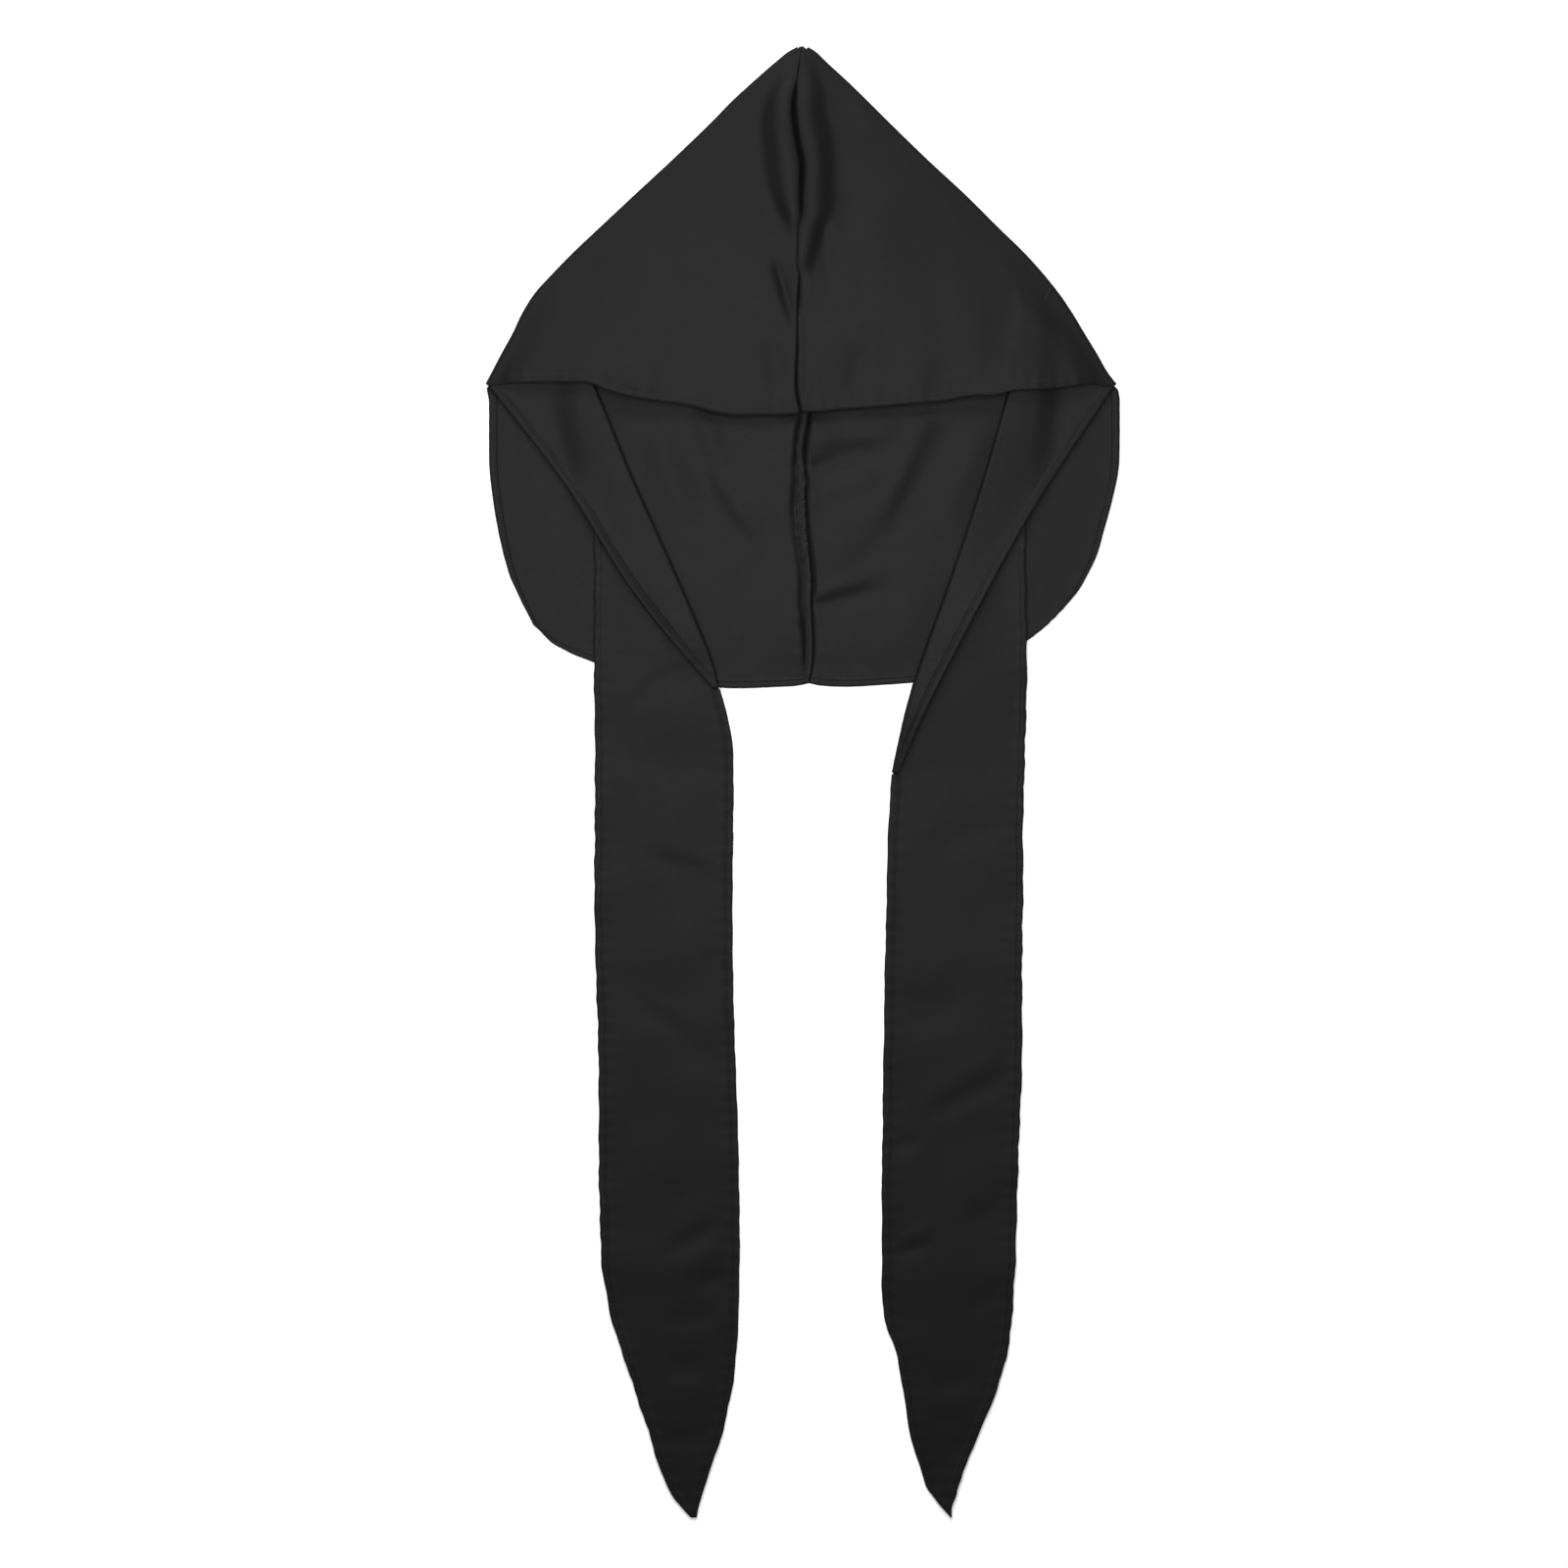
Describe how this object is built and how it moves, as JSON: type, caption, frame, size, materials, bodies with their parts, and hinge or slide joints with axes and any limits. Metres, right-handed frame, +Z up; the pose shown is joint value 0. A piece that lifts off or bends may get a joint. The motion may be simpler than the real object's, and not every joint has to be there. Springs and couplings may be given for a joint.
{
  "type": "durag",
  "caption": "Cloth head cover laid flat on its back: pointed two-panel crown with a centre seam, a short cape and two long folded ties.",
  "frame": {"origin": "on the resting face of the back of the crown, on the centre line, below the middle of the front hem", "axes": "+Y towards the peak of the crown, +X to the right seen from above, +Z up from the surface it lies on"},
  "size_m": [0.3227, 0.7495, 0.0128],
  "materials": {
    "black_cloth": "satin",
    "black_hem": "satin"
  },
  "bodies": {
    "root": {"panel_left": "black_cloth", "panel_right": "black_cloth", "tie_left": "black_cloth", "tie_right": "black_cloth", "front_hem_left": "black_hem", "front_hem_right": "black_hem", "centre_seam_back": "black_hem", "centre_seam_front": "black_hem"}
  },
  "joints": []
}
